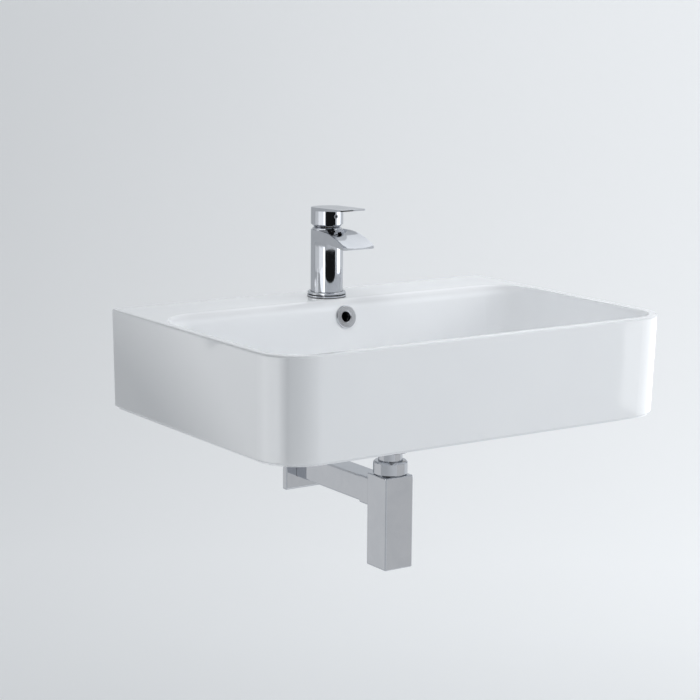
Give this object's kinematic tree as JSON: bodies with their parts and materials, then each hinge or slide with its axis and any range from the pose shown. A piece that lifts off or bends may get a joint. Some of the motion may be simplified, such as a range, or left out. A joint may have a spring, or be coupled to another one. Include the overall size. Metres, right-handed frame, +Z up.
{
  "type": "countertop basin",
  "caption": "White rectangular countertop wash basin with a thin rim, tap deck, waterfall lever mixer, sprung waste plug and square bottle trap.",
  "frame": {"origin": "on the waste's axis, on the counter that the basin's foot stands on", "axes": "+Z up, +Y back to the wall, +X to the right as seen from the front; the front faces -Y"},
  "size_m": [0.6, 0.4649, 0.4651],
  "materials": {
    "glazed_ceramic": "white gloss glaze",
    "chrome": "polished chrome on brass",
    "brass": "turned brass",
    "steel": "zinc-plated steel",
    "black_rubber": "black rubber",
    "cartridge_plastic": "moulded acetal",
    "disc_ceramic": "lapped alumina",
    "indicator": "dark gloss plug"
  },
  "bodies": {
    "basin": {"basin_body": "glazed_ceramic", "overflow_ring": "chrome", "waste_body": "chrome", "trap_coupling_nut": "chrome", "trap_inlet_tube": "chrome", "trap_top_nut": "chrome", "trap_body": "chrome", "trap_cleanout_plug": "chrome", "trap_outlet_pipe": "chrome", "trap_outlet_cover": "chrome", "wall_flange": "chrome", "tap_body": "chrome", "tap_base_ring": "chrome", "cartridge_cover": "chrome", "cartridge_nut": "chrome", "waste_backnut": "brass", "tap_stud_nut": "brass", "tap_stud": "steel", "tap_clamp_washer": "steel", "click_spring": "steel", "waste_seal": "black_rubber", "waste_washer": "black_rubber", "trap_inlet_washer": "black_rubber", "trap_top_seal": "black_rubber", "trap_cleanout_ring": "black_rubber", "trap_outlet_ring": "black_rubber", "tap_base_seal": "black_rubber", "port_seals": "black_rubber", "tap_rubber_washer": "black_rubber", "cartridge_housing": "cartridge_plastic", "cartridge_base": "cartridge_plastic", "click_barrel": "cartridge_plastic", "fixed_disc": "disc_ceramic"},
    "turret": {"cartridge_turret": "cartridge_plastic", "stem_pin": "steel"},
    "lever": {"lever_handle": "chrome", "cartridge_stem": "brass", "grub_screw": "steel", "indicator_cap": "indicator"},
    "disc": {"moving_disc": "disc_ceramic", "disc_carrier": "cartridge_plastic"},
    "plug": {"waste_plug": "chrome", "plug_seal": "black_rubber", "plug_stem": "brass"}
  },
  "joints": [
    {"name": "lever_turn", "type": "hinge", "parent": "basin", "child": "turret", "pos_m": [0, 0.155, 0.206], "axis": [0, 0, 1], "range_deg": [-45, 45]},
    {"name": "lever_lift", "type": "hinge", "parent": "turret", "child": "lever", "pos_m": [0, 0.155, 0.206], "axis": [-1, 0, 0], "range_deg": [0, 20]},
    {"name": "disc_slide", "type": "slide", "parent": "turret", "child": "disc", "axis": [0, -1, 0], "range_m": [0, 0.0045]},
    {"name": "plug_slide", "type": "slide", "parent": "basin", "child": "plug", "axis": [0, 0, 1], "range_m": [0, 0.01], "deforming": ["click_spring"]}
  ],
  "couplings": [
    {"joint": "disc_slide", "follows": "lever_lift", "m_per_rad": 0.01192}
  ]
}
